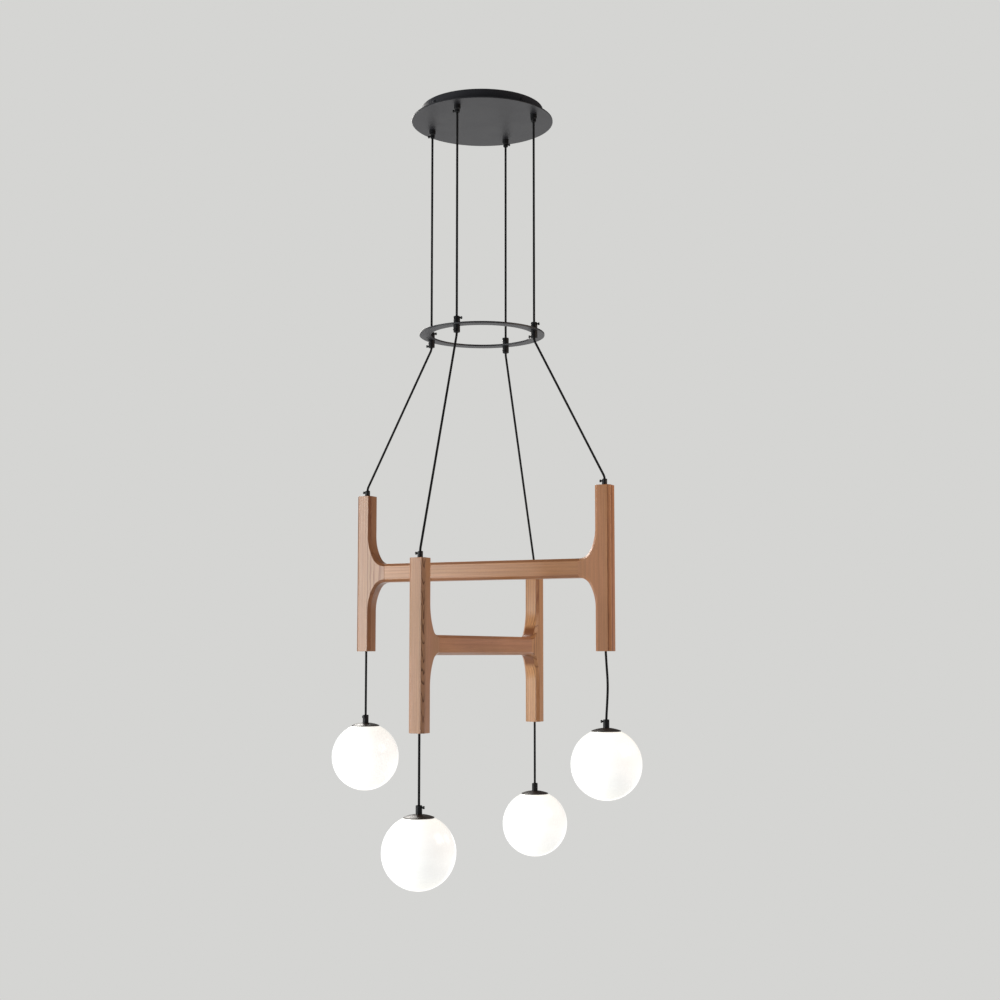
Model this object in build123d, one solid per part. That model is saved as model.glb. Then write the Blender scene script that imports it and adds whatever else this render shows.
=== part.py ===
from build123d import *
import math
import os

# Chandelier: a ceiling canopy, four cords, a flat ring, two crossed wooden H-frames and four glass globes.
# Sizes are in millimetres. The origin is the middle of the ceiling face, with +Z up.
# +X runs along the upper H-frame and +Y along the lower one.

# Cords, and the room round them
cord_diameter = 4.0
cord_clearance = 0.3  # radial, in the bores that hold a cord
cord_gap = 0.3  # from a cord's round end to the next length of cord
cord_bend_radius = 20.0  # where a taut cord turns at a grip
cord_lead = 6.0  # straight cord between a grip's mouth and the corner of that turn
cord_bend_share = 0.45  # of the shorter straight run, for the bends of a cord that bows
cord_circle_radius = 101.5  # the four suspension cords stand on this circle

# Heights, measured down the cords
suspension_length = 363.0  # mouth of a canopy grip to mouth of a ring grip
upper_frame_drop = 255.0  # mouth of a ring grip down to the mouth of a leg grip
lower_frame_drop = 386.0
drop_length = 114.0  # bottom of a leg to the mouth of a globe grip

# Cord grips, their stems and their clamp screws
thread_clearance = 0.05  # radial, between a screw or stem and its tapped hole
hole_clearance = 0.2  # radial, round a stem or screw in a plain hole
stem_wall = 1.7
grip_shoulder = 1.8  # a canopy or ring grip's body stands this far out from its stem
globe_grip_shoulder = 1.3
leg_stem_wall = 1.0
leg_grip_shoulder = 1.2
grip_edge = 0.8  # chamfer round the end of a grip
mouth_flare = 0.8  # chamfer of the bore at the mouth
canopy_grip_height = 14.0
canopy_nose_length = 5.5  # narrow end of a canopy grip, which holds the clamp screw
canopy_nose_wall = 2.1
canopy_nose_slope = 1.5  # height of the cone between body and nose
ring_upper_grip_height = 12.5
ring_lower_grip_height = 13.0
leg_grip_height = 11.0
globe_grip_height = 14.0
clamp_screw_inset = 3.4  # from the mouth of a grip to the axis of its clamp screw
clamp_screw_diameter = 2.6
clamp_screw_neck = 2.0  # bare shank between the grip and the screw's head
clamp_head_diameter = 4.8
clamp_head_thickness = 2.2
clamp_slot_width = 0.8
clamp_slot_depth = 0.9

# Canopy
canopy_height = 23.0  # ceiling to underside of plate
plate_thickness = 2.5
plate_overhang = 17.5  # plate outside the drum
drum_wall = 1.2
drum_flange = 8.0
ceiling_gap = 0.5  # from the drum's top edge to the ceiling
lock_nut_wall = 1.5
lock_nut_thickness = 3.5
lock_nut_room = 1.0  # from a nut's corner to the drum
stem_proud = 1.0  # stem above its lock nut
bracket_thickness = 2.0
bracket_arm_width = 24.0
bracket_turn = -25.0  # degrees from +X to the first arm
ear_room = 0.6  # from an ear's corners to the drum
ear_floor_gap = 4.0  # from an ear down to the plate
ceiling_screw_circle = 120.0  # diameter
ceiling_screw_hole = 5.2
side_screw_diameter = 4.0
side_head_diameter = 7.0
side_head_thickness = 2.2
side_head_round = 1.3
side_screw_reach = 3.0  # past the inner face of the ear
terminal_block_width = 34.0
terminal_roof = 1.2  # block above its cord holes
terminal_socket_depth = 6.0
tail_roof = 4.0  # from the cord tails up to the bracket

# Suspension ring
ring_thickness = 3.0
ring_band = 20.5
stem_engagement = 5.5  # of an upper grip's stem in its lower grip
socket_spare = 0.5  # depth of a tapped socket past the stem

# Wooden frames
leg_spacing = 464.0
leg_length = 282.0
leg_width = 28.0
bar_height = 33.0
edge_chamfer = 4.5  # along all long edges
flare_root_radius = 22.0  # of the flare next to the bar
flare_run_radius = 80.0  # of the flare where it runs out into the leg
flare_root_turn = 60.0  # degrees of the root arc, out of the 90 of the whole flare
leg_bore_clearance = 0.5
leg_stem_length = 12.0
tenon_length = 25.0
tenon_shoulder = 5.5  # bar above and below the tenon
tenon_cheek = 9.0  # bar on both sides of the tenon
mortise_clearance = 0.1

# Globes
globe_diameter = 120.0
glass_wall = 2.5
cap_diameter = 50.0
cap_rim = 1.2  # upright edge of the cap
cap_dome_height = 4.6  # above that edge
cap_wall = 1.2
glass_gap = 0.3  # between the cap and the glass that turns on it
shoulder_margin = 0.4  # flat of the glass outside the cap
collar_diameter = 40.0
collar_wall = 1.5
collar_length = 8.0  # of the threaded collar inside the glass
holder_stem_engagement = 9.0
holder_boss_margin = 0.4  # boss inside the cap's flat seat
holder_boss_length = 2.5
holder_diameter = 22.0
holder_head_length = 12.0
holder_nose_diameter = 18.0
holder_nose_length = 16.0
pin_spacing = 9.0
pin_diameter = 1.4
pin_length = 8.0
pin_clearance = 0.2
bulb_base_diameter = 15.0
bulb_base_length = 10.0
bulb_diameter = 16.0
bulb_length = 34.0

# Sides: upper frame left and right, lower frame front and back
sides = {"left": (-1, 0), "right": (1, 0), "front": (0, -1), "back": (0, 1)}
frames = {"upper": ("left", "right"), "lower": ("front", "back")}

# Ways that the clamp screws point, in degrees from +X
canopy_screw_turn = {"left": 180, "right": 270, "front": 180, "back": 0}
ring_upper_screw_turn = {"left": 0, "right": 0, "front": 0, "back": 270}
ring_lower_screw_turn = {"left": 180, "right": 180, "front": 270, "back": 270}
leg_screw_turn = {"left": 180, "right": 180, "front": 180, "back": 180}
globe_screw_turn = {"left": 270, "right": 180, "front": 0, "back": 290}

# The right drop cord bows a little: shares of the drop, and how far it stands out towards +X
drop_bow = {"right": ((0.19, 1.2), (0.48, 3.6), (0.77, 2.0))}

# Sizes that follow from those above
cord_radius = cord_diameter / 2
bore_radius = cord_radius + cord_clearance
stem_radius = bore_radius + stem_wall
grip_radius = stem_radius + grip_shoulder
canopy_nose_radius = bore_radius + canopy_nose_wall
globe_grip_radius = stem_radius + globe_grip_shoulder
leg_stem_radius = bore_radius + leg_stem_wall
leg_grip_radius = leg_stem_radius + leg_grip_shoulder
clamp_screw_radius = clamp_screw_diameter / 2
side_screw_radius = side_screw_diameter / 2

plate_bottom_z = -canopy_height
plate_top_z = plate_bottom_z + plate_thickness
canopy_mouth_z = plate_bottom_z - canopy_grip_height
ring_mouth_z = canopy_mouth_z - suspension_length
ring_top_z = ring_mouth_z - ring_upper_grip_height
ring_bottom_z = ring_top_z - ring_thickness
frame_mouth_z = ring_bottom_z - ring_lower_grip_height
frame_drop = {"upper": upper_frame_drop, "lower": lower_frame_drop}
leg_top_z = {name: frame_mouth_z - drop - leg_grip_height for name, drop in frame_drop.items()}

lock_nut_flats = 2 * (stem_radius + lock_nut_wall)
lock_nut_corner = lock_nut_flats / math.sqrt(3)
drum_inner_radius = cord_circle_radius + lock_nut_corner + lock_nut_room
drum_radius = drum_inner_radius + drum_wall
plate_radius = drum_radius + plate_overhang
ear_radius = math.sqrt((drum_inner_radius - ear_room) ** 2 - (bracket_arm_width / 2) ** 2)
side_screw_z = (plate_top_z - ceiling_gap) / 2
tail_z = -bracket_thickness - tail_roof - cord_radius
stem_top_z = plate_top_z + lock_nut_thickness + stem_proud

half_leg = leg_width / 2
half_bar = bar_height / 2
root_turn = math.radians(flare_root_turn)
root_reach = flare_root_radius * math.sin(root_turn)
root_rise = flare_root_radius * (1 - math.cos(root_turn))
flare_reach = root_reach + flare_run_radius * (1 - math.sin(root_turn))
flare_rise = root_rise + flare_run_radius * math.cos(root_turn)
joint_offset = half_leg + flare_reach  # leg axis to the joint with the bar
leg_bore_radius = cord_radius + leg_bore_clearance

globe_radius = globe_diameter / 2
cap_radius = cap_diameter / 2
shoulder_radius = cap_radius + shoulder_margin
shoulder_z = math.sqrt(globe_radius**2 - shoulder_radius**2)  # above the globe's centre
cap_rim_z = shoulder_z + glass_gap
cap_top_z = cap_rim_z + cap_rim + cap_dome_height
cap_seat_radius = globe_grip_radius + grip_edge
globe_centre_drop = drop_length + globe_grip_height + cap_top_z  # below the bottom of the leg
collar_radius = collar_diameter / 2


def save(name, *solids):
    """Write one node, as a single solid or as a group of separate solids."""
    shape = solids[0] if len(solids) == 1 else Compound(children=list(solids))
    export_step(shape, f"parts/{name}.step")


def turned(*edges):
    """Solid of revolution about Z of a closed outline in the XZ plane."""
    return revolve(Face(Wire(edges)), Axis.Z)


def turned_polygon(*points):
    """Solid of revolution about Z of a polygon given as radius and height."""
    return revolve(Face(Wire.make_polygon([(r, 0, z) for r, z in points])), Axis.Z)


def upright(radius, bottom, top):
    """Upright round bar between two heights."""
    return Pos(0, 0, bottom) * Cylinder(radius, top - bottom, align=(Align.CENTER, Align.CENTER, Align.MIN))


def outward(radius, start, end):
    """Round bar along +X between two distances from the Z axis."""
    return Pos(start, 0, 0) * Rot(0, 90, 0) * Cylinder(
        radius, end - start, align=(Align.CENTER, Align.CENTER, Align.MIN)
    )


def on_circle(side, radius, z):
    """Place at a side of the chandelier, a radius from its axis."""
    x, y = sides[side]
    return Pos(x * radius, y * radius, z)


def heading(side):
    """Direction of a side from the axis, in degrees from +X."""
    x, y = sides[side]
    return math.degrees(math.atan2(y, x))


def tapped_hole(body_radius, turn, z):
    """Hole from the bore of a grip out through its wall, for its clamp screw."""
    return Pos(0, 0, z) * Rot(0, 0, turn) * outward(clamp_screw_radius + thread_clearance, 0, 2 * body_radius)


def stem_grip(height, body_radius, stem_length, stem, turn):
    """Cord grip, mouth up, with a hollow stem below its seat at z = 0."""
    body = turned_polygon(
        (bore_radius, -stem_length),
        (stem, -stem_length),
        (stem, 0),
        (body_radius, 0),
        (body_radius, height - grip_edge),
        (body_radius - grip_edge, height),
        (bore_radius + mouth_flare, height),
        (bore_radius, height - mouth_flare),
    )
    return body - tapped_hole(body_radius, turn, height - clamp_screw_inset)


def socket_grip(height, body_radius, socket_depth, turn):
    """Cord grip, mouth down, with a tapped socket above, in a body whose seat is at z = 0."""
    socket_radius = stem_radius + thread_clearance
    body = turned_polygon(
        (socket_radius, 0),
        (body_radius, 0),
        (body_radius, grip_edge - height),
        (body_radius - grip_edge, -height),
        (bore_radius + mouth_flare, -height),
        (bore_radius, mouth_flare - height),
        (bore_radius, -socket_depth),
        (socket_radius, -socket_depth),
    )
    return body - tapped_hole(body_radius, turn, clamp_screw_inset - height)


def clamp_screw(body_radius, turn):
    """Slotted clamp screw that reaches in to the cord, with its axis at z = 0."""
    head_start = body_radius + clamp_screw_neck
    head_end = head_start + clamp_head_thickness
    shank = outward(clamp_screw_radius, cord_radius + thread_clearance, head_start)
    head = outward(clamp_head_diameter / 2, head_start, head_end)
    slot = Pos(head_end, 0, 0) * Box(2 * clamp_slot_depth, 2 * clamp_head_diameter, clamp_slot_width)
    return Rot(0, 0, turn) * (shank + head - slot)


def half_ball(radius, up):
    """Upper or lower half of a ball about the origin."""
    if up:
        return Sphere(radius, 0, 90, align=(Align.CENTER, Align.CENTER, Align.MIN))
    return Sphere(radius, -90, 0, align=(Align.CENTER, Align.CENTER, Align.MAX))


def cord_tube(points, radii):
    """Cord along straight runs joined by tangent arcs."""
    path = FilletPolyline(*points, radius=radii) if radii else Line(*points)
    return sweep(Plane(path @ 0, z_dir=path % 0) * Circle(cord_radius), path=path)


def largest_radii(points):
    """Arc radius at each inner point: a share of the shorter run, over the tangent of half the turn."""
    radii = []
    for before, here, after in zip(points, points[1:], points[2:]):
        first = Vector(here) - Vector(before)
        second = Vector(after) - Vector(here)
        half_turn = math.radians(first.get_angle(second)) / 2
        radii.append(cord_bend_share * min(first.length, second.length) / math.tan(half_turn))
    return radii


# Canopy: a plate with a drum welded on it, held to a ceiling bracket by four side screws


def ceiling_bracket():
    """Cross of two flat arms against the ceiling, with an ear bent down at each end."""
    arm = Pos(0, 0, -bracket_thickness / 2) * Box(2 * ear_radius, bracket_arm_width, bracket_thickness)
    cross = arm + Rot(0, 0, 90) * arm
    ear_height = -plate_top_z - ear_floor_gap
    ear_middle = ear_radius - bracket_thickness / 2
    ear = Pos(ear_middle, 0, -ear_height / 2) * Box(bracket_thickness, bracket_arm_width, ear_height)
    screw_hole = Cylinder(ceiling_screw_hole / 2, 4 * bracket_thickness)
    screw_hole = Pos(ceiling_screw_circle / 2, 0, 0) * screw_hole
    ear_hole = outward(side_screw_radius + thread_clearance, ear_middle - bracket_thickness, 2 * ear_radius)
    ear_hole = Pos(0, 0, side_screw_z) * ear_hole
    for quarter in range(4):
        cross += Rot(0, 0, 90 * quarter) * ear
    for quarter in range(4):
        cross -= Rot(0, 0, 90 * quarter) * screw_hole
        cross -= Rot(0, 0, 90 * quarter) * ear_hole
    return Rot(0, 0, bracket_turn) * cross


def canopy_drum():
    """Thin upright ring with a flange outwards at its foot, which lies on the plate."""
    drum = turned_polygon(
        (drum_inner_radius, -ceiling_gap),
        (drum_radius, -ceiling_gap),
        (drum_radius, plate_top_z + drum_wall),
        (drum_radius + drum_flange, plate_top_z + drum_wall),
        (drum_radius + drum_flange, plate_top_z),
        (drum_inner_radius, plate_top_z),
    )
    hole = Pos(0, 0, side_screw_z) * outward(side_screw_radius + hole_clearance, ear_radius, 2 * drum_radius)
    for quarter in range(4):
        drum -= Rot(0, 0, bracket_turn + 90 * quarter) * hole
    return drum


def canopy_plate():
    """Flat disc with a hole for the stem of each cord grip."""
    plate = upright(plate_radius, plate_bottom_z, plate_top_z)
    for side in sides:
        plate -= on_circle(side, cord_circle_radius, plate_bottom_z) * Cylinder(
            stem_radius + hole_clearance, 4 * plate_thickness
        )
    return plate


def canopy_side_screw(quarter):
    """Round-headed screw through the drum into an ear of the bracket."""
    shank = outward(side_screw_radius, ear_radius - bracket_thickness - side_screw_reach, drum_radius)
    head = outward(side_head_diameter / 2, drum_radius, drum_radius + side_head_thickness)
    rim = head.edges().sort_by(Axis.X)[-1]
    head = fillet(rim, side_head_round)
    return Rot(0, 0, bracket_turn + 90 * quarter) * Pos(0, 0, side_screw_z) * (shank + head)


def canopy_grip(side):
    """Cord grip under the plate, with its stem up through the plate and its mouth in a narrow nose below."""
    body_z = canopy_mouth_z + canopy_nose_length + canopy_nose_slope
    grip = turned_polygon(
        (bore_radius, stem_top_z),
        (stem_radius, stem_top_z),
        (stem_radius, plate_bottom_z),
        (grip_radius, plate_bottom_z),
        (grip_radius, body_z),
        (canopy_nose_radius, canopy_mouth_z + canopy_nose_length),
        (canopy_nose_radius, canopy_mouth_z + grip_edge),
        (canopy_nose_radius - grip_edge, canopy_mouth_z),
        (bore_radius + mouth_flare, canopy_mouth_z),
        (bore_radius, canopy_mouth_z + mouth_flare),
    )
    grip -= tapped_hole(grip_radius, canopy_screw_turn[side], canopy_mouth_z + clamp_screw_inset)
    return on_circle(side, cord_circle_radius, 0) * grip


def lock_nut(side):
    """Hexagon nut on a grip's stem, on top of the plate."""
    nut = extrude(RegularPolygon(lock_nut_flats / 2, 6, major_radius=False), lock_nut_thickness)
    nut -= Cylinder(stem_radius + thread_clearance, 4 * lock_nut_thickness)
    return on_circle(side, cord_circle_radius, plate_top_z) * nut


def terminal_block():
    """Square wiring block on the plate, with a cord hole in each side."""
    top = tail_z + bore_radius + terminal_roof
    half = terminal_block_width / 2
    block = extrude(Rectangle(terminal_block_width, terminal_block_width), top - plate_top_z)
    block = Pos(0, 0, plate_top_z) * block
    hole = Pos(0, 0, tail_z) * outward(bore_radius, half - terminal_socket_depth, half)
    for quarter in range(4):
        block -= Rot(0, 0, 90 * quarter) * hole
    return block


def canopy_cord_tail(side):
    """Cord from inside a canopy grip, up through its stem and over into the terminal block."""
    x, y = sides[side]
    end = terminal_block_width / 2 - terminal_socket_depth + cord_gap
    points = [
        (x * cord_circle_radius, y * cord_circle_radius, canopy_mouth_z + cord_radius + cord_gap),
        (x * cord_circle_radius, y * cord_circle_radius, tail_z),
        (x * end, y * end, tail_z),
    ]
    return cord_tube(points, [tail_z - stem_top_z])


def suspension_cord(side):
    """Taut cord between the mouths of a canopy grip and a ring grip, with a round end in each."""
    cord = upright(cord_radius, ring_mouth_z, canopy_mouth_z)
    cord += Pos(0, 0, canopy_mouth_z) * half_ball(cord_radius, True)
    cord += Pos(0, 0, ring_mouth_z) * half_ball(cord_radius, False)
    return on_circle(side, cord_circle_radius, 0) * cord


# Ring: a flat band that spreads the cords, with a grip above and below it at each cord


def suspension_ring():
    """Flat ring with a hole for each grip's stem."""
    ring = upright(cord_circle_radius + ring_band / 2, ring_bottom_z, ring_top_z)
    ring -= upright(cord_circle_radius - ring_band / 2, ring_bottom_z, ring_top_z)
    for side in sides:
        ring -= on_circle(side, cord_circle_radius, ring_bottom_z) * Cylinder(
            stem_radius + hole_clearance, 4 * ring_thickness
        )
    return ring


def ring_upper_grip(side):
    """Grip on top of the ring, whose stem goes through the ring into the lower grip."""
    turn = ring_upper_screw_turn[side]
    stem_length = ring_thickness + stem_engagement
    grip = stem_grip(ring_upper_grip_height, grip_radius, stem_length, stem_radius, turn)
    return on_circle(side, cord_circle_radius, ring_top_z) * grip


def ring_lower_grip(side):
    """Grip under the ring, screwed onto the stem of the upper grip."""
    turn = ring_lower_screw_turn[side]
    grip = socket_grip(ring_lower_grip_height, grip_radius, stem_engagement + socket_spare, turn)
    return on_circle(side, cord_circle_radius, ring_bottom_z) * grip


def ring_cord_run(side):
    """Length of cord that the two ring grips clamp."""
    top = ring_mouth_z - cord_radius - cord_gap
    bottom = frame_mouth_z + cord_radius + cord_gap
    return on_circle(side, cord_circle_radius, 0) * upright(cord_radius, bottom, top)


# Wooden frames: two bored legs and a bar between them, all with chamfered long edges


def flare_edges(up):
    """Two tangent arcs from the end of the bar to the inner side of a leg, above it or below it."""

    def point(turn, x, z, radius):
        return (x + radius * math.sin(turn), 0, up * (z - radius * math.cos(turn)))

    root_x = -joint_offset
    root_z = half_bar + flare_root_radius
    run_x = -half_leg - flare_run_radius
    run_z = half_bar + flare_rise
    middle = (root_turn + math.pi / 2) / 2
    root = [point(turn, root_x, root_z, flare_root_radius) for turn in (0, root_turn / 2, root_turn)]
    run = [point(turn, run_x, run_z, flare_run_radius) for turn in (root_turn, middle, math.pi / 2)]
    run[0] = root[-1]
    return [ThreePointArc(*root), ThreePointArc(*run)], root[0], run[-1]


def frame_leg(stem_radius_in_leg):
    """Leg with its flares, on the Z axis, with the joint to the bar on its -X side."""
    half = leg_length / 2
    upper, upper_root, upper_end = flare_edges(1)
    lower, lower_root, lower_end = flare_edges(-1)
    corners = [
        upper_end,
        (-half_leg, 0, half),
        (half_leg, 0, half),
        (half_leg, 0, -half),
        (-half_leg, 0, -half),
        lower_end,
    ]
    sides_and_ends = [Line(a, b) for a, b in zip(corners, corners[1:])]
    outline = Wire(upper + sides_and_ends + lower + [Line(lower_root, upper_root)])
    leg = extrude(Face(outline), half_leg, dir=(0, 1, 0), both=True)
    broad_faces = leg.faces().filter_by(Axis.Y)
    long_edges = [
        edge
        for face in broad_faces
        for edge in face.edges()
        if abs(edge.center().Z) < half - edge_chamfer and edge.center().X > edge_chamfer / 2 - joint_offset
    ]
    leg = chamfer(long_edges, edge_chamfer)
    leg -= upright(leg_bore_radius, -half, half)
    leg -= upright(stem_radius_in_leg, half - leg_stem_length - socket_spare, half)
    mortise_depth = tenon_length + mortise_clearance
    mortise = Pos(mortise_depth / 2 - joint_offset, 0, 0) * Box(
        mortise_depth,
        leg_width - 2 * tenon_cheek + 2 * mortise_clearance,
        bar_height - 2 * tenon_shoulder + 2 * mortise_clearance,
    )
    return leg - mortise


def frame_crossbar():
    """Straight bar along X with a stub tenon on each end."""
    length = leg_spacing - 2 * joint_offset
    bar = Box(length, leg_width, bar_height)
    bar = chamfer(bar.edges().filter_by(Axis.X), edge_chamfer)
    tenons = Box(length + 2 * tenon_length, leg_width - 2 * tenon_cheek, bar_height - 2 * tenon_shoulder)
    return bar + tenons


def frame_cord(frame, side):
    """Cord from a ring grip, splayed out to a leg grip and down through the bore of the leg."""
    leg_mouth_z = leg_top_z[frame] + leg_grip_height
    leg_radius = leg_spacing / 2
    end_z = leg_top_z[frame] - leg_length + cord_radius + cord_gap
    heights = [
        (cord_circle_radius, frame_mouth_z),
        (cord_circle_radius, frame_mouth_z - cord_lead),
        (leg_radius, leg_mouth_z + cord_lead),
        (leg_radius, end_z),
    ]
    radii = [cord_bend_radius, cord_bend_radius]
    print(f"{side}_frame_cord radii", radii)
    cord = cord_tube([(-radius, 0, z) for radius, z in heights], radii)
    cord += Pos(-cord_circle_radius, 0, frame_mouth_z) * half_ball(cord_radius, True)
    return Rot(0, 0, heading(side) - 180) * cord


def save_frame(frame):
    """All the nodes of one H-frame."""
    leg = frame_leg(leg_stem_radius + thread_clearance)
    bar = frame_crossbar()
    middle_z = leg_top_z[frame] - leg_length / 2
    screw_z = leg_top_z[frame] + leg_grip_height - clamp_screw_inset
    grips = []
    screws = []
    for side in frames[frame]:
        place = on_circle(side, leg_spacing / 2, middle_z)
        save(f"{frame}_{side}_leg", place * Rot(0, 0, heading(side)) * leg)
        turn = leg_screw_turn[side]
        grip = stem_grip(leg_grip_height, leg_grip_radius, leg_stem_length, leg_stem_radius, turn)
        grips.append(on_circle(side, leg_spacing / 2, leg_top_z[frame]) * grip)
        screws.append(on_circle(side, leg_spacing / 2, screw_z) * clamp_screw(leg_grip_radius, turn))
        save(f"{side}_frame_cord", frame_cord(frame, side))
    save(f"{frame}_crossbar", Pos(0, 0, middle_z) * Rot(0, 0, heading(side)) * bar)
    save(f"{frame}_leg_grips", *grips)
    save(f"{frame}_leg_grip_screws", *screws)


# Globes: each hangs on a drop cord, with a grip, a cap, a lamp holder, a bulb and a glass on the cap


def arc_about_axis(centre_z, radius, start_r, end_r):
    """Arc of a sphere's outline above its centre, between two distances from the axis."""
    stations = (start_r, (start_r + end_r) / 2, end_r)
    return ThreePointArc(*[(r, 0, centre_z + math.sqrt(radius**2 - r**2)) for r in stations])


def outline_lines(*points):
    """Straight edges through points given as radius and height."""
    corners = [(r, 0, z) for r, z in points]
    return [Line(a, b) for a, b in zip(corners, corners[1:])]


def globe_cap():
    """Shallow dome with an upright rim, a flat seat on top and a threaded collar below."""
    foot = (cap_radius**2 - cap_seat_radius**2 - cap_dome_height**2) / (2 * cap_dome_height)
    dome_radius = math.hypot(foot, cap_radius)
    dome_z = cap_rim_z + cap_rim - foot
    inner_dome = dome_radius - cap_wall
    inner_collar = collar_radius - collar_wall
    ceiling_z = cap_top_z - cap_wall
    ceiling_radius = math.sqrt(inner_dome**2 - (ceiling_z - dome_z) ** 2)
    inner_rim = cap_radius - cap_wall
    hole = stem_radius + hole_clearance
    collar_z = shoulder_z - collar_length

    def inside(r):
        return (r, dome_z + math.sqrt(inner_dome**2 - r**2))

    edges = outline_lines((hole, ceiling_z), (hole, cap_top_z), (cap_seat_radius, cap_top_z))
    edges.append(arc_about_axis(dome_z, dome_radius, cap_seat_radius, cap_radius))
    edges += outline_lines(
        (cap_radius, cap_rim_z + cap_rim), (cap_radius, cap_rim_z), (inner_rim, cap_rim_z), inside(inner_rim)
    )
    edges.append(arc_about_axis(dome_z, inner_dome, inner_rim, collar_radius))
    edges += outline_lines(
        inside(collar_radius), (collar_radius, collar_z), (inner_collar, collar_z), inside(inner_collar)
    )
    edges.append(arc_about_axis(dome_z, inner_dome, inner_collar, ceiling_radius))
    edges += outline_lines((ceiling_radius, ceiling_z), (hole, ceiling_z))
    return turned(*edges)


def glass_globe():
    """Hollow glass ball with a flat shoulder under the cap and a neck inside it, round the collar."""
    inner_radius = globe_radius - glass_wall
    neck_inner = collar_radius + glass_gap
    neck_outer = neck_inner + glass_wall
    neck_z = shoulder_z - collar_length
    under_z = shoulder_z - glass_wall
    under_radius = math.sqrt(inner_radius**2 - under_z**2)
    outer = ThreePointArc((0, 0, -globe_radius), (globe_radius, 0, 0), (shoulder_radius, 0, shoulder_z))
    inner = ThreePointArc((under_radius, 0, under_z), (inner_radius, 0, 0), (0, 0, -inner_radius))
    neck = outline_lines(
        (shoulder_radius, shoulder_z),
        (neck_inner, shoulder_z),
        (neck_inner, neck_z),
        (neck_outer, neck_z),
        (neck_outer, under_z),
        (under_radius, under_z),
    )
    return turned(outer, *neck, inner, *outline_lines((0, -inner_radius), (0, -globe_radius)))


def lamp_holder():
    """Ceramic holder under the cap: a boss with a tapped socket, a head, and a nose with two pin holes."""
    top = cap_top_z - cap_wall
    boss_radius = cap_seat_radius - holder_boss_margin
    boss_z = top - holder_boss_length
    head_z = boss_z - holder_head_length
    nose_z = head_z - holder_nose_length
    socket_radius = stem_radius + thread_clearance
    socket_z = top - holder_stem_engagement - socket_spare
    holder = turned_polygon(
        (socket_radius, top),
        (boss_radius, top),
        (boss_radius, boss_z),
        (holder_diameter / 2, boss_z),
        (holder_diameter / 2, head_z),
        (holder_nose_diameter / 2, head_z),
        (holder_nose_diameter / 2, nose_z),
        (0, nose_z),
        (0, socket_z),
        (socket_radius, socket_z),
    )
    for way in (-1, 1):
        holder -= Pos(way * pin_spacing / 2, 0, 0) * upright(
            pin_diameter / 2 + pin_clearance, nose_z, nose_z + pin_length + pin_clearance
        )
    return holder


def bulb():
    """Pin bulb: a base, a round-ended capsule and two pins up into the holder."""
    top = cap_top_z - cap_wall - holder_boss_length - holder_head_length - holder_nose_length
    base_z = top - bulb_base_length
    tip_z = base_z - bulb_length
    capsule = upright(bulb_diameter / 2, tip_z + bulb_diameter / 2, base_z)
    capsule += Pos(0, 0, tip_z + bulb_diameter / 2) * half_ball(bulb_diameter / 2, False)
    lamp = upright(bulb_base_diameter / 2, base_z, top) + capsule
    for way in (-1, 1):
        lamp += Pos(way * pin_spacing / 2, 0, 0) * upright(pin_diameter / 2, top, top + pin_length)
    return lamp


def drop_cord(side):
    """Cord from the bottom of a leg into the lamp holder, with its round upper end at z = 0."""
    holder_top_z = -drop_length - globe_grip_height - cap_wall
    end_z = holder_top_z - holder_stem_engagement - socket_spare + cord_gap
    points = [(0, 0, 0), (0, 0, end_z)]
    if side in drop_bow:
        bow = [(out, 0, -share * drop_length) for share, out in drop_bow[side]]
        points[1:1] = [*bow, (0, 0, -drop_length)]
    radii = largest_radii(points)
    print(f"{side}_drop_cord radii", [round(radius) for radius in radii])
    return cord_tube(points, radii) + half_ball(cord_radius, True)


def save_globe(frame, side):
    """All the nodes of one globe, hung under its leg."""
    hang = on_circle(side, leg_spacing / 2, leg_top_z[frame] - leg_length)
    centre = hang * Pos(0, 0, -globe_centre_drop)
    turn = globe_screw_turn[side]
    stem_length = cap_wall + holder_stem_engagement
    grip = stem_grip(globe_grip_height, globe_grip_radius, stem_length, stem_radius, turn)
    screw_z = cap_top_z + globe_grip_height - clamp_screw_inset
    save(f"{side}_drop_cord", hang * drop_cord(side))
    save(f"{side}_globe_grip", centre * Pos(0, 0, cap_top_z) * grip)
    save(f"{side}_globe_grip_screw", centre * Pos(0, 0, screw_z) * clamp_screw(globe_grip_radius, turn))
    save(f"{side}_globe_cap", centre * globe_cap())
    save(f"{side}_lamp_holder", centre * lamp_holder())
    save(f"{side}_bulb", centre * bulb())
    save(f"{side}_glass_globe", centre * glass_globe())


os.makedirs("parts", exist_ok=True)

save("ceiling_bracket", ceiling_bracket())
save("canopy_drum", canopy_drum())
save("canopy_plate", canopy_plate())
save("canopy_side_screws", *[canopy_side_screw(quarter) for quarter in range(4)])
save("canopy_grips", *[canopy_grip(side) for side in sides])
save("canopy_grip_nuts", *[lock_nut(side) for side in sides])
canopy_screws = []
canopy_screw_z = canopy_mouth_z + clamp_screw_inset
for side in sides:
    canopy_screw = clamp_screw(canopy_nose_radius, canopy_screw_turn[side])
    canopy_screws.append(on_circle(side, cord_circle_radius, canopy_screw_z) * canopy_screw)
save("canopy_grip_screws", *canopy_screws)
save("terminal_block", terminal_block())
save("canopy_cord_tails", *[canopy_cord_tail(side) for side in sides])
for side in sides:
    save(f"{side}_suspension_cord", suspension_cord(side))

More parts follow.
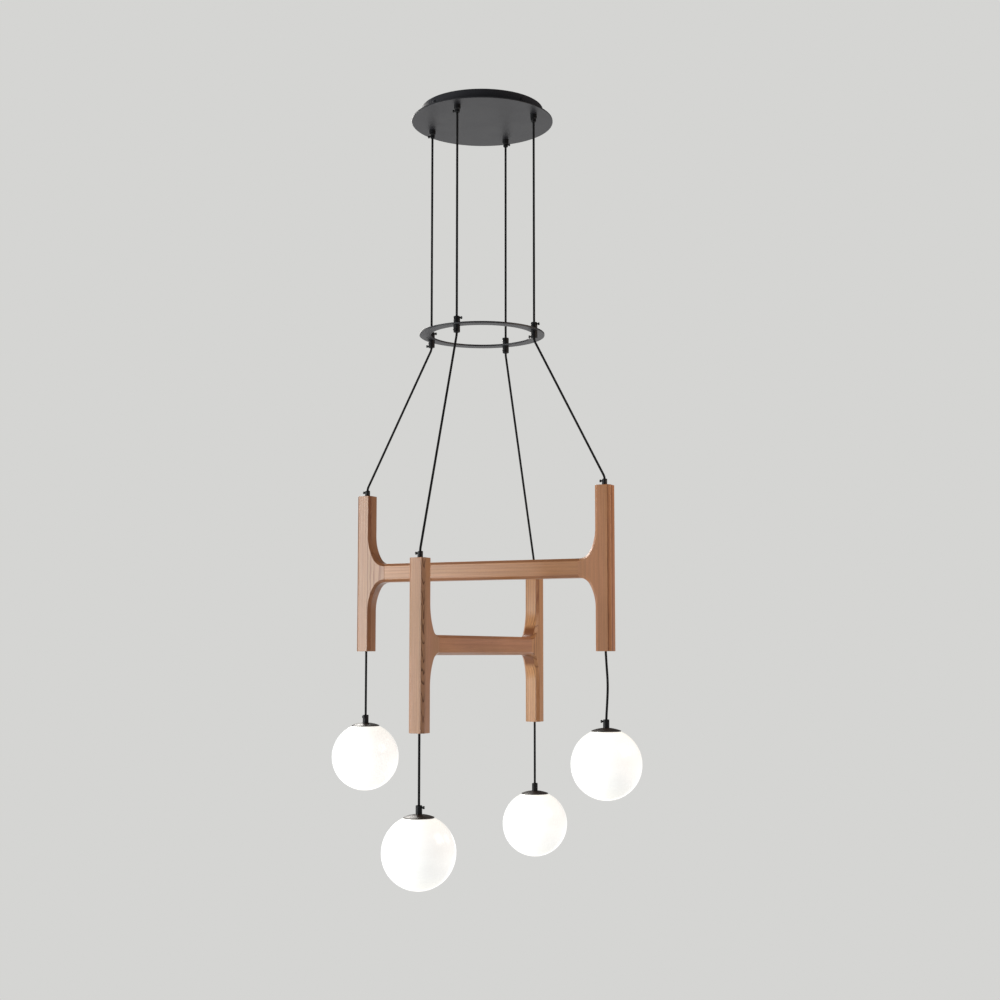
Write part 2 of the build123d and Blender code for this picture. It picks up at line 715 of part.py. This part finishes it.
save("suspension_ring", suspension_ring())
save("ring_upper_grips", *[ring_upper_grip(side) for side in sides])
save("ring_lower_grips", *[ring_lower_grip(side) for side in sides])
ring_screws = []
for side in sides:
    upper_screw = clamp_screw(grip_radius, ring_upper_screw_turn[side])
    lower_screw = clamp_screw(grip_radius, ring_lower_screw_turn[side])
    ring_screws.append(on_circle(side, cord_circle_radius, ring_mouth_z - clamp_screw_inset) * upper_screw)
    ring_screws.append(on_circle(side, cord_circle_radius, frame_mouth_z + clamp_screw_inset) * lower_screw)
save("ring_grip_screws", *ring_screws)
save("ring_cord_runs", *[ring_cord_run(side) for side in sides])

for frame, frame_sides in frames.items():
    save_frame(frame)
    for side in frame_sides:
        save_globe(frame, side)
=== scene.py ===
import math

import bpy
import numpy as np
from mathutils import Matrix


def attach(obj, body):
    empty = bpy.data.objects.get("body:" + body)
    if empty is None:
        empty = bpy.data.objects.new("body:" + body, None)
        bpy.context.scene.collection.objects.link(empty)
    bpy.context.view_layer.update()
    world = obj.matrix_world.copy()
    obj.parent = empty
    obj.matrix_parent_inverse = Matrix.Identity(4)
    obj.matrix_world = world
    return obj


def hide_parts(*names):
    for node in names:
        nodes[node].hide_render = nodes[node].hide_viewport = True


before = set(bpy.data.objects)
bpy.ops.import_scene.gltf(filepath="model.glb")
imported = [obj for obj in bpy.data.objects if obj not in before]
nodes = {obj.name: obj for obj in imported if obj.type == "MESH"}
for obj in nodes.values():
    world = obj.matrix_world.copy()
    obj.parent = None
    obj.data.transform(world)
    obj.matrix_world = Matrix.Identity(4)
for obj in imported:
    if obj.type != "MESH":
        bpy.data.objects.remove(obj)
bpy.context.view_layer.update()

# The view: from the front right, 2.7 m from the chandelier and a little below its middle, with the camera
# tipped slightly up.
camera = bpy.data.objects.new("camera", bpy.data.cameras.new("camera"))
camera.data.sensor_width = 36
camera.data.lens = 54.94
camera.location = (1.1565, -2.4240, -0.9792)
camera.rotation_euler = (math.radians(90 + 5.72), 0, math.radians(24.82))
bpy.context.collection.objects.link(camera)
bpy.context.scene.camera = camera

# Ceiling bracket: a cross of bright zinc-plated strip steel, cut and bent, and screwed to the ceiling through
# the hole in each arm. The nuts that lock the cord grips to the canopy have the same plating.


def finish(name, **constants):
    """New material with one shader. Values that are the same all over go on the shader's own sockets."""
    material = bpy.data.materials.new(name)
    material.use_nodes = True
    shader = material.node_tree.nodes["Principled BSDF"]
    for socket, value in constants.items():
        shader.inputs[socket.replace("_", " ")].default_value = value
    return material


def add(material, kind, inputs, **settings):
    """New node. An input is a constant, or the socket that feeds it; the first output in use is returned."""
    node = material.node_tree.nodes.new("ShaderNode" + kind)
    for setting, value in settings.items():
        setattr(node, setting, value)
    for socket, value in inputs.items():
        if isinstance(value, bpy.types.NodeSocket):
            material.node_tree.links.new(value, node.inputs[socket])
        else:
            node.inputs[socket].default_value = value
    return next(output for output in node.outputs if output.enabled)


def feed(material, **sockets):
    """Link node outputs to sockets of the material's shader."""
    shader = material.node_tree.nodes["Principled BSDF"]
    for socket, output in sockets.items():
        material.node_tree.links.new(output, shader.inputs[socket.replace("_", " ")])


def place_in_object(material):
    """The point on the surface, in metres in the chandelier's own frame."""
    return material.node_tree.nodes.new("ShaderNodeTexCoord").outputs["Object"]


def shades(material, value, *stops):
    """Colour that runs through (value, linear colour) stops."""
    ramp = material.node_tree.nodes.new("ShaderNodeValToRGB")
    material.node_tree.links.new(value, ramp.inputs[0])
    elements = ramp.color_ramp.elements
    while len(elements) < len(stops):
        elements.new(0.5)
    for element, (position, colour) in zip(elements, stops):
        element.position = position
        element.color = (*colour, 1)
    return ramp.outputs[0]


def between(material, value, low, high):
    """Value from 0 to 1, stretched to run from low to high."""
    return add(material, "MapRange", {"Value": value, "To Min": low, "To Max": high})


def bumps(material, height, distance):
    """Normal of a surface with that height pattern, whose hills are distance metres high."""
    return add(material, "Bump", {"Height": height, "Distance": distance, "Strength": 1.0})


def dress(material, *names):
    """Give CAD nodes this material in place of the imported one."""
    for name in names:
        nodes[name].data.materials.clear()
        nodes[name].data.materials.append(material)


zinc = finish("zinc_plate", Metallic=1.0)
zinc_place = place_in_object(zinc)
zinc_crystal = add(zinc, "TexVoronoi", {"Vector": zinc_place, "Scale": 160}, feature="SMOOTH_F1")
zinc_rub = add(zinc, "TexNoise", {"Vector": zinc_place, "Scale": 45, "Detail": 6})
feed(
    zinc,
    Base_Color=shades(zinc, zinc_crystal, (0.1, (0.52, 0.53, 0.53)), (0.9, (0.66, 0.66, 0.64))),
    Roughness=between(zinc, zinc_rub, 0.22, 0.48),
    Normal=bumps(zinc, zinc_rub, 0.00008),
)
dress(zinc, "ceiling_bracket", "canopy_grip_nuts")

# Canopy: a flat sheet-steel plate with a spun drum on top, in black powder coat. Four round-headed screws
# through the drum hold it to the ears of the bracket.


def powder_coat(name, dark, pale, rough, shine=0.5):
    """Baked powder paint: an even colour with faint clouds, and a fine orange-peel skin."""
    coat = finish(name, Specular_IOR_Level=shine)
    place = place_in_object(coat)
    cloud = add(coat, "TexNoise", {"Vector": place, "Scale": 28, "Detail": 4})
    peel = add(coat, "TexNoise", {"Vector": place, "Scale": 1100, "Detail": 2})
    feed(
        coat,
        Base_Color=shades(coat, cloud, (0.3, dark), (0.7, pale)),
        Roughness=between(coat, cloud, rough - 0.05, rough + 0.05),
        Normal=bumps(coat, peel, 0.00004),
    )
    return coat


def ease_edges(width, *names):
    """Round the edges of CAD nodes, as filing, lacquer or planing leaves them, and shade them as curves."""
    for name in names:
        weld = nodes[name].modifiers.new("weld", "WELD")
        weld.merge_threshold = 0.000002
        flats = nodes[name].modifiers.new("flats", "DECIMATE")
        flats.decimate_type = "DISSOLVE"
        flats.angle_limit = math.radians(0.5)
        ease = nodes[name].modifiers.new("ease", "BEVEL")
        ease.width = width
        ease.segments = 3
        ease.limit_method = "ANGLE"
        ease.angle_limit = math.radians(30)
        nodes[name].modifiers.new("shading", "WEIGHTED_NORMAL")


canopy_coat = powder_coat("canopy_black", (0.010, 0.010, 0.013), (0.014, 0.014, 0.018), 0.46, 0.45)
drum_coat = powder_coat("drum_black", (0.013, 0.013, 0.017), (0.017, 0.017, 0.022), 0.60, 0.3)
dress(canopy_coat, "canopy_plate")
dress(drum_coat, "canopy_drum", "canopy_side_screws")
coated_edge = 0.0005
ease_edges(coated_edge, "canopy_drum", "canopy_plate")

# Cord grips: short turned tubes of steel, coated black, each with a slotted clamp screw across it.
# They hang under the canopy, sit above and below the ring, and stand on the legs and on the globes.
grip_black = powder_coat("grip_black", (0.004, 0.004, 0.005), (0.007, 0.007, 0.008), 0.42, 0.2)
grips = ["canopy_grips", "canopy_grip_screws", "ring_upper_grips", "ring_lower_grips", "ring_grip_screws"]
grips += ["upper_leg_grips", "upper_leg_grip_screws", "lower_leg_grips", "lower_leg_grip_screws"]
sides = {"left": (-1, 0), "right": (1, 0), "front": (0, -1), "back": (0, 1)}
for side in sides:
    grips += [side + "_globe_grip", side + "_globe_grip_screw"]
dress(grip_black, *grips)
turned_edge = 0.0004
ease_edges(turned_edge, *grips)

# Terminal block: a moulded block of pale plastic in the middle of the canopy plate, where the four cords
# meet the mains. Each cord goes into a socket in one of its sides.
block_plastic = finish("terminal_plastic", Roughness=0.5)
block_place = place_in_object(block_plastic)
block_cloud = add(block_plastic, "TexNoise", {"Vector": block_place, "Scale": 90, "Detail": 3})
block_skin = add(block_plastic, "TexNoise", {"Vector": block_place, "Scale": 1500, "Detail": 2})
feed(
    block_plastic,
    Base_Color=shades(block_plastic, block_cloud, (0.3, (0.60, 0.59, 0.54)), (0.7, (0.66, 0.65, 0.60))),
    Normal=bumps(block_plastic, block_skin, 0.00003),
)
dress(block_plastic, "terminal_block")

# Cords: round black flex, 4 mm thick, with a close textile braid. Inside the canopy each cord rises through
# its grip's stem and turns over to the terminal block.
cord_thickness = 0.004
flex = finish("black_braid", Specular_IOR_Level=0.2)
flex_place = place_in_object(flex)
strands = []
for slant in (1, -1):
    across = add(flex, "Mapping", {"Vector": flex_place, "Scale": (slant, slant, 1.5)})
    strands.append(add(flex, "TexWave", {"Vector": across, "Scale": 260}, bands_direction="DIAGONAL"))
weave = add(flex, "Math", {0: strands[0], 1: strands[1]}, operation="MAXIMUM")
flex_rub = add(flex, "TexNoise", {"Vector": flex_place, "Scale": 60, "Detail": 4})
feed(
    flex,
    Base_Color=shades(flex, weave, (0.2, (0.001, 0.001, 0.001)), (0.9, (0.006, 0.006, 0.007))),
    Roughness=between(flex, flex_rub, 0.7, 0.9),
    Normal=bumps(flex, weave, 0.00012),
)


def cord_piece(name, *routes):
    """Curve along each route: a smooth spline with the route's points as its control points. It starts and
    ends on the route and rounds the points between.
    """
    curve = bpy.data.curves.new(name, "CURVE")
    curve.dimensions = "3D"
    curve.bevel_depth = cord_thickness / 2
    curve.bevel_resolution = 5
    curve.use_fill_caps = True
    for route in routes:
        spline = curve.splines.new("NURBS")
        spline.points.add(len(route) - 1)
        spline.points.foreach_set("co", np.column_stack([route, np.ones(len(route))]).ravel())
        spline.order_u = 3
        spline.use_endpoint_u = True
        spline.resolution_u = 10
    piece = bpy.data.objects.new(name, curve)
    bpy.context.collection.objects.link(piece)
    curve.materials.append(flex)
    return piece


def from_axis(side, *radius_and_height):
    """Points at a side of the chandelier, each given by its distance from the axis and its height."""
    x, y = sides[side]
    return [(x * radius, y * radius, height) for radius, height in radius_and_height]


tail_route = ((0.1015, -0.0347), (0.1015, -0.018), (0.1015, -0.008), (0.0915, -0.008), (0.0113, -0.008))
tails = cord_piece("canopy_tails", *[from_axis(side, *tail_route) for side in sides])
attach(tails, "canopy")
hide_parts("canopy_cord_tails")

# Suspension cords: four taut lengths of the same flex, from the grips of the canopy to those of the ring.
# The weight of the frames keeps them straight.
suspension_route = ((0.1015, -0.037), (0.1015, -0.061), (0.1015, -0.376), (0.1015, -0.400))
for side in sides:
    route = from_axis(side, *suspension_route)
    suspension = cord_piece(side + "_suspension", route)
    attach(suspension, side + "_cord")
    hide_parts(side + "_suspension_cord")

# Suspension ring: a flat ring of sheet steel in the same coat as the canopy plate. At each cord an upper and
# a lower grip are screwed together through a hole in it, and the flex runs straight through both.
dress(canopy_coat, "suspension_ring")
ease_edges(coated_edge, "suspension_ring")
run_route = ((0.1015, -0.4023), (0.1015, -0.415), (0.1015, -0.4262))
runs = cord_piece("ring_runs", *[from_axis(side, *run_route) for side in sides])
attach(runs, "ring")
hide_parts("ring_cord_runs")

# Frame cords: from the ring each length of flex splays out to the top of its leg, turns at the leg's grip,
# and goes down the bore of the leg to its foot.
splay_route = {
    "upper": (
        (0.1015, -0.4270),
        (0.1015, -0.4320),
        (0.1052, -0.4391),
        (0.1127, -0.4532),
        (0.2208, -0.6588),
        (0.2283, -0.6729),
        (0.2320, -0.6800),
        (0.2320, -0.6880),
        (0.2320, -0.9742),
    ),
    "lower": (
        (0.1015, -0.4270),
        (0.1015, -0.4320),
        (0.1041, -0.4396),
        (0.1093, -0.4547),
        (0.2242, -0.7883),
        (0.2294, -0.8034),
        (0.2320, -0.8110),
        (0.2320, -0.8190),
        (0.2320, -1.1052),
    ),
}
levels = {"left": "upper", "right": "upper", "front": "lower", "back": "lower"}
for side, level in levels.items():
    route = from_axis(side, *splay_route[level])
    splay = cord_piece(side + "_splay", route)
    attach(splay, level + "_frame")
    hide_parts(side + "_frame_cord")

# H-frames: legs and bars of ash with a satin oil finish, planed with broad chamfers, joined by stub tenons
# in the flares of the legs. Most pieces were cut with one edge towards the heart of the log, and that edge
# shows figure.
half_thickness = 0.014
chamfer_depth = 0.0045
chamfer_start = half_thickness - chamfer_depth
end_grain_start, end_grain_full = 0.0185, 0.0225
heart_fade = 0.004
drift = 0.0015


def oiled_ash(name, middle, turn, face, inward, look, number):
    """Wood from a log: the distance from the pith line, plus taper times the height because a log tapers,
    bent by noise that is drawn out along the grain, gives rings, each with a dark late edge. Up to heart
    metres from the pith they are bold and wander; they fade over heart_fade and are faint outside it. All of
    them drift a little. Chamfers, which lie between chamfer_start and half_thickness from the frame's middle
    plane, are drawn darker. So is the end grain on the curve of a flare, which takes up more of the finish
    and comes in from end_grain_start to end_grain_full inward of the leg's middle; on the back leg that
    darkening is partly painted shade under the flares. Face is the direction across the middle plane, and
    inward the one from leg to bar. Middle and turn place the piece's own axes, with the grain along the
    third. Number gives each piece noise of its own.
    """
    wood = finish(name, Specular_IOR_Level=0.5)
    place = place_in_object(wood)
    own_axes = {"Vector": place, "Location": middle, "Rotation": turn}
    grain = add(wood, "Mapping", own_axes, vector_type="TEXTURE")

    def noise(across, along, detail):
        """Noise whose lumps have these sizes in metres across and along the grain."""
        per_metre = (1 / across, 1 / across, 1 / along)
        drawn = add(wood, "VectorMath", {0: grain, 1: per_metre}, operation="MULTIPLY")
        settings = {"Vector": drawn, "W": 7.0 * number, "Scale": 1.0, "Detail": detail}
        return add(wood, "TexNoise", settings, noise_dimensions="4D")

    def calculate(operation, first, second):
        """Sum, product or the like of two values."""
        return add(wood, "Math", {0: first, 1: second}, operation=operation)

    heart, wander = look["heart"], look["wander"]
    from_pith = add(wood, "VectorMath", {0: grain, 1: (*look["pith"], 0)}, operation="SUBTRACT")
    flat = add(wood, "VectorMath", {0: from_pith, 1: (1, 1, 0)}, operation="MULTIPLY")
    reach = add(wood, "VectorMath", {0: flat}, operation="LENGTH")
    cone = add(wood, "VectorMath", {0: grain, 1: (0, 0, look["taper"])}, operation="DOT_PRODUCT")
    heart_edge = {"Value": reach, "From Min": heart, "From Max": heart + heart_fade}
    bold = add(wood, "MapRange", {**heart_edge, "To Min": 1.0, "To Max": look["faint"]})
    bend = calculate("MULTIPLY", between(wood, noise(0.005, 0.024, 1), -wander, wander), bold)
    sway = between(wood, noise(0.020, 0.5, 1), -drift - heart, drift - heart)
    bent = calculate("ADD", calculate("ADD", reach, cone), calculate("ADD", bend, sway))
    ring = add(wood, "Math", {0: calculate("DIVIDE", bent, look["spacing"])}, operation="FRACT")
    late = shades(wood, ring, (0.0, (0, 0, 0)), (0.5, (0.05, 0.05, 0.05)), (0.9, (1, 1, 1)), (1.0, (0, 0, 0)))
    # Chamfers are drawn darker, by the piece's edge amount towards its dark colour.
    depth = add(wood, "VectorMath", {0: place, 1: face}, operation="DOT_PRODUCT")
    off_middle = add(wood, "Math", {0: depth}, operation="ABSOLUTE")
    slope = {"Value": off_middle, "From Min": chamfer_start, "From Max": half_thickness}
    chamfer = add(wood, "MapRange", slope)
    chamfer_dark = (look["edge"],) * 3
    undarkened = (0, 0, 0)
    chamfer_darkening = shades(wood, chamfer, (0.0, undarkened), (0.06, chamfer_dark), (0.94, chamfer_dark), (1.0, undarkened))
    # End grain on the curve of a flare is drawn darker, by the piece's end amount; on the back leg this
    # darkening is partly painted shade under its flares.
    towards_bar = add(wood, "VectorMath", {0: grain, 1: inward}, operation="DOT_PRODUCT")
    flare = {"Value": towards_bar, "From Min": end_grain_start, "From Max": end_grain_full}
    flare_ramp = add(wood, "MapRange", {**flare, "To Max": look["end"]})
    on_curve = calculate("LESS_THAN", off_middle, chamfer_start)
    end_grain_and_shade = calculate("MULTIPLY", flare_ramp, on_curve)
    edge_and_end_darkening = calculate("MAXIMUM", chamfer_darkening, end_grain_and_shade)
    darkness = calculate("MAXIMUM", calculate("MULTIPLY", late, bold), edge_and_end_darkening)
    colour = shades(wood, darkness, (0.0, look["pale"]), (1.0, look["dark"]))
    clouds = noise(0.02, 0.25, 2)
    streaks = noise(0.003, 0.12, 2)
    fibre = noise(0.0009, 0.030, 3)
    pores = noise(0.0004, 0.006, 1)
    layers = [
        shades(wood, clouds, (0.3, (0.92, 0.92, 0.82)), (0.7, (1.03, 1.01, 1.06))),
        shades(wood, streaks, (0.3, (0.88, 0.85, 0.82)), (0.65, (1.04, 1.04, 1.04))),
        shades(wood, fibre, (0.3, (0.88, 0.86, 0.84)), (0.65, (1.03, 1.03, 1.03))),
        shades(wood, pores, (0.28, (0.70, 0.64, 0.58)), (0.38, (1, 1, 1))),
    ]
    for layer in layers:
        colour = add(wood, "VectorMath", {0: colour, 1: layer}, operation="MULTIPLY")
    feed(
        wood,
        Base_Color=colour,
        Roughness=between(wood, late, 0.28, 0.36),
        Normal=bumps(wood, fibre, 0.000012),
    )
    return wood


leg_circle = 0.232
leg_middle = {"upper": -0.8355, "lower": -0.9665}
flat_face = {"upper": (0, 1, 0), "lower": (1, 0, 0)}
planed_edge = 0.00035
upright = (0, 0, 0)

# Pith is where the middle of the log lay, across the grain of the piece, and spacing the width of a ring.
# Edge says how much darker chamfers are drawn, and end how much darker the end grain of a flare is drawn.
leg_looks = {
    "left": {
        "pith": (0.042, -0.042), "heart": 0.0437, "spacing": 0.0045,
        "wander": 0.0010, "faint": 0.25, "taper": 0.003, "edge": 0.6, "end": 0.5,
        "pale": (0.395, 0.195, 0.097), "dark": (0.22, 0.078, 0.030),
    },
    "right": {
        "pith": (0.060, 0.020), "heart": 0.0609, "spacing": 0.0075,
        "wander": 0.0012, "faint": 0.2, "taper": 0.003, "edge": 0.0, "end": 0.5,
        "pale": (0.465, 0.210, 0.097), "dark": (0.20, 0.072, 0.025),
    },
    "front": {
        "pith": (0.0180, -0.0159), "heart": 0.0092, "spacing": 0.0022,
        "wander": 0.0024, "faint": 0.08, "taper": -0.090, "edge": 0.12, "end": 0.5,
        "pale": (0.475, 0.250, 0.145), "dark": (0.085, 0.031, 0.010),
    },
    # The back leg's paler colour is partly its own tone and partly painted light, for warm light falling on
    # it; its deeper dark colour and full end-grain darkening are partly painted shade under its flares.
    "back": {
        "pith": (0.042, -0.042), "heart": 0.0437, "spacing": 0.0045,
        "wander": 0.0010, "faint": 0.4, "taper": 0.003, "edge": 0.4, "end": 1.0,
        "pale": (0.62, 0.318, 0.146), "dark": (0.25, 0.092, 0.034),
    },
}
for number, (side, level) in enumerate(levels.items()):
    x, y = sides[side]
    leg, look, face = f"{level}_{side}_leg", leg_looks[side], flat_face[level]
    middle = (x * leg_circle, y * leg_circle, leg_middle[level])
    inward = (-x, -y, 0)
    dress(oiled_ash(f"ash_{side}_leg", middle, upright, face, inward, look, number), leg)
    ease_edges(planed_edge, leg)

bar_turn = {"upper": (0, math.radians(90), 0), "lower": (math.radians(-90), 0, 0)}
no_flare = (0, 0, 0)
bar_looks = {
    "upper": {
        "pith": (0.045, -0.055), "heart": 0.050, "spacing": 0.0045,
        "wander": 0.0010, "faint": 0.3, "taper": 0.003, "edge": 0.6, "end": 0.0,
        "pale": (0.455, 0.209, 0.089), "dark": (0.24, 0.084, 0.029),
    },
    "lower": {
        "pith": (-0.090, 0.030), "heart": 0.060, "spacing": 0.0045,
        "wander": 0.0010, "faint": 0.3, "taper": 0.003, "edge": 0.3, "end": 0.0,
        "pale": (0.50, 0.242, 0.126), "dark": (0.27, 0.100, 0.042),
    },
}
for number, level in enumerate(bar_looks, start=5):
    bar, look, face = f"{level}_crossbar", bar_looks[level], flat_face[level]
    middle = (0, 0, leg_middle[level])
    dress(oiled_ash(f"ash_{level}_bar", middle, bar_turn[level], face, no_flare, look, number), bar)
    ease_edges(planed_edge, bar)

# Drop cords: short free lengths of flex from the feet of the legs to the globes. The right one keeps a slight
# bow from its packing.
leg_foot = {"upper": -0.9765, "lower": -1.1075}
drop_straight = ((0, 0), (0, -0.024), (0, -0.114), (0, -0.1384))
drop_bowed = ((0, 0), (0.0012, -0.0217), (0.0036, -0.0547), (0.0020, -0.0878), (0, -0.114), (0, -0.1384))
for side, level in levels.items():
    x, y = sides[side]
    drops = drop_bowed if side == "right" else drop_straight
    route = [(x * leg_circle + out, y * leg_circle, leg_foot[level] + down) for out, down in drops]
    drop = cord_piece(side + "_drop", route)
    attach(drop, side + "_lamp")
    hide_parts(side + "_drop_cord")

# Globe caps: shallow spun-steel domes in a brown-black satin lacquer, with a threaded collar for the glass.
# The stem of the globe's grip goes through the middle of the cap and screws into the lamp holder.
globe_middle = {"upper": -1.164958, "lower": -1.295958}


def spun_lacquer(name, middle):
    """Brown-black lacquer over the fine rings that spinning leaves round the cap's axis."""
    lacquer = finish(name)
    about_axis = {"Vector": place_in_object(lacquer), "Location": middle}
    centred = add(lacquer, "Mapping", about_axis, vector_type="TEXTURE")
    spinning = {"Vector": centred, "Scale": 260, "Distortion": 1.0}
    marks = add(lacquer, "TexWave", spinning, wave_type="RINGS", rings_direction="Z")
    cloud = add(lacquer, "TexNoise", {"Vector": centred, "Scale": 60, "Detail": 4})
    feed(
        lacquer,
        Base_Color=shades(lacquer, cloud, (0.3, (0.018, 0.012, 0.009)), (0.7, (0.028, 0.019, 0.015))),
        Roughness=between(lacquer, cloud, 0.28, 0.38),
        Normal=bumps(lacquer, marks, 0.00002),
    )
    return lacquer


def globe_place(side):
    """Centre of the globe on that side."""
    x, y = sides[side]
    return (x * leg_circle, y * leg_circle, globe_middle[levels[side]])


for side in sides:
    dress(spun_lacquer(f"{side}_cap_lacquer", globe_place(side)), f"{side}_globe_cap")
    ease_edges(turned_edge, f"{side}_globe_cap")

# Lamp holder and bulb: a glazed ceramic holder on the stem under the cap, and a frosted pin bulb pushed
# into it. Both are out of sight in the globe.
ceramic = finish("holder_ceramic", Roughness=0.4)
ceramic_cloud = add(ceramic, "TexNoise", {"Vector": place_in_object(ceramic), "Scale": 120, "Detail": 4})
feed(ceramic, Base_Color=shades(ceramic, ceramic_cloud, (0.3, (0.72, 0.71, 0.67)), (0.7, (0.80, 0.79, 0.76))))
frosted = finish("bulb_frost", Roughness=0.45)
frosted_cloud = add(frosted, "TexNoise", {"Vector": place_in_object(frosted), "Scale": 200, "Detail": 4})
feed(frosted, Base_Color=shades(frosted, frosted_cloud, (0.3, (0.80, 0.79, 0.75)), (0.7, (0.88, 0.87, 0.84))))
for side in sides:
    dress(ceramic, side + "_lamp_holder")
    dress(frosted, side + "_bulb")

# Glass globes: mouth-blown opal glass, 120 mm across, lit from inside. They screw onto the collars of the
# caps, which close their mouths.


def opal_glass(name, middle):
    """White glass that glows, with faint swirls in it, and with painted shade that makes the glow a little
    creamier towards the neck and the bottom.
    """
    opal = finish(name, Roughness=0.16, Emission_Strength=0.56)
    about_middle = {"Vector": place_in_object(opal), "Location": middle}
    centred = add(opal, "Mapping", about_middle, vector_type="TEXTURE")
    swirl = add(opal, "TexNoise", {"Vector": centred, "Scale": 22, "Detail": 3, "Distortion": 1.0})
    from_middle = add(opal, "SeparateXYZ", {0: centred})
    height = from_middle.node.outputs["Z"]
    # Painted shade: the glow turns a little creamier away from the globe's middle height, towards the neck
    # and the bottom.
    up_or_down = add(opal, "Math", {0: height}, operation="ABSOLUTE")
    painted_cream = add(opal, "MapRange", {"Value": up_or_down, "From Min": 0.030, "From Max": 0.060})
    feed(
        opal,
        Base_Color=shades(opal, swirl, (0.3, (0.80, 0.80, 0.78)), (0.7, (0.84, 0.84, 0.83))),
        Emission_Color=shades(opal, painted_cream, (0.0, (1.0, 1.0, 0.985)), (1.0, (1.0, 0.975, 0.90))),
    )
    return opal


for side in sides:
    dress(opal_glass(f"{side}_opal_glass", globe_place(side)), f"{side}_glass_globe")

# Room: a plain pale floor far below, which fades out at its rim, an even grey surround, a large soft light
# on the left as from a window, a weak one close by on the right, and one behind on the left.
floor_height = -2.6
floor_reach = 3.0
fade_start, fade_end = 1.2, 2.8
rim_points = 96
turn = np.linspace(0, 2 * np.pi, rim_points, endpoint=False)
floor_mesh = bpy.data.meshes.new("floor")
across, along = floor_reach * np.cos(turn), floor_reach * np.sin(turn)
rim = np.column_stack([across, along, np.full(rim_points, floor_height)])
floor_mesh.from_pydata(rim.tolist(), [], [list(range(rim_points))])
floor = bpy.data.objects.new("floor", floor_mesh)
bpy.context.collection.objects.link(floor)
plaster = finish("floor_plaster", Roughness=0.8)
plaster_place = place_in_object(plaster)
plaster_cloud = add(plaster, "TexNoise", {"Vector": plaster_place, "Scale": 3, "Detail": 4})
plaster_flat = add(plaster, "VectorMath", {0: plaster_place, 1: (1, 1, 0)}, operation="MULTIPLY")
plaster_reach = add(plaster, "VectorMath", {0: plaster_flat}, operation="LENGTH")
fading = {"Value": plaster_reach, "From Min": fade_start, "From Max": fade_end, "To Min": 1.0, "To Max": 0.0}
plaster_fade = add(plaster, "MapRange", fading, interpolation_type="SMOOTHSTEP")
feed(
    plaster,
    Base_Color=shades(plaster, plaster_cloud, (0.3, (0.82, 0.82, 0.81)), (0.7, (0.84, 0.84, 0.83))),
    Alpha=plaster_fade,
)
floor_mesh.materials.append(plaster)

# The surround is an even grey where it is seen, straight or through something. Gloss shows it bright below
# and dim above, as a pale floor and dim walls, and the light that it gives comes more from above.
world = bpy.data.worlds.new("surround")
bpy.context.scene.world = world
world.use_nodes = True
surround = world.node_tree
direction = surround.nodes.new("ShaderNodeTexCoord").outputs["Generated"]
upward = add(world, "SeparateXYZ", {0: direction}).node.outputs["Z"]
sky = {"Value": upward, "From Min": -0.5, "From Max": 0.5, "To Min": 0.12, "To Max": 0.38}
walls = {"Value": upward, "From Min": -0.25, "From Max": 0.10, "To Min": 1.25, "To Max": 0.12}
lit = surround.nodes["Background"]
lit.inputs["Color"].default_value = (1, 1, 1, 1)
surround.links.new(add(world, "MapRange", sky), lit.inputs["Strength"])
mirrored = add(world, "Background", {"Color": (0.8, 0.8, 0.8, 1), "Strength": add(world, "MapRange", walls)})
seen = add(world, "Background", {"Color": (0.665, 0.665, 0.651, 1)})
path = surround.nodes.new("ShaderNodeLightPath").outputs
straight = add(world, "Math", {0: path["Is Camera Ray"], 1: path["Is Transmission Ray"]}, operation="MAXIMUM")
in_gloss = add(world, "MixShader", {0: path["Is Glossy Ray"], 1: lit.outputs[0], 2: mirrored})
in_view = add(world, "MixShader", {0: straight, 1: in_gloss, 2: seen})
surround.links.new(in_view, surround.nodes["World Output"].inputs["Surface"])

room_middle = np.array((0, 0, -0.75))


def soft_light(name, towards, distance, width, watts, colour):
    """Square area light at a distance from the chandelier's middle, aimed back at it."""
    lamp = bpy.data.lights.new(name, "AREA")
    lamp.size = width
    lamp.energy = watts
    lamp.color = colour
    light = bpy.data.objects.new(name, lamp)
    way = np.array(towards) / np.linalg.norm(towards)
    light.location = room_middle + distance * way
    tilt = math.acos(way[2])
    light.rotation_euler = (tilt, 0, math.atan2(way[1], way[0]) + math.pi / 2)
    light.visible_camera = False
    bpy.context.collection.objects.link(light)


soft_light("window_light", (-0.66, -0.70, -0.04), 2.6, 1.5, 60, (0.96, 1.0, 0.98))
soft_light("wall_light", (0.95, 0.10, 0.20), 1.0, 0.6, 4.7, (1.0, 0.79, 0.62))
soft_light("back_light", (-0.80, 0.60, 0.60), 2.6, 1.4, 50, (1.0, 0.97, 0.93))
bpy.context.scene.view_settings.view_transform = "Standard"
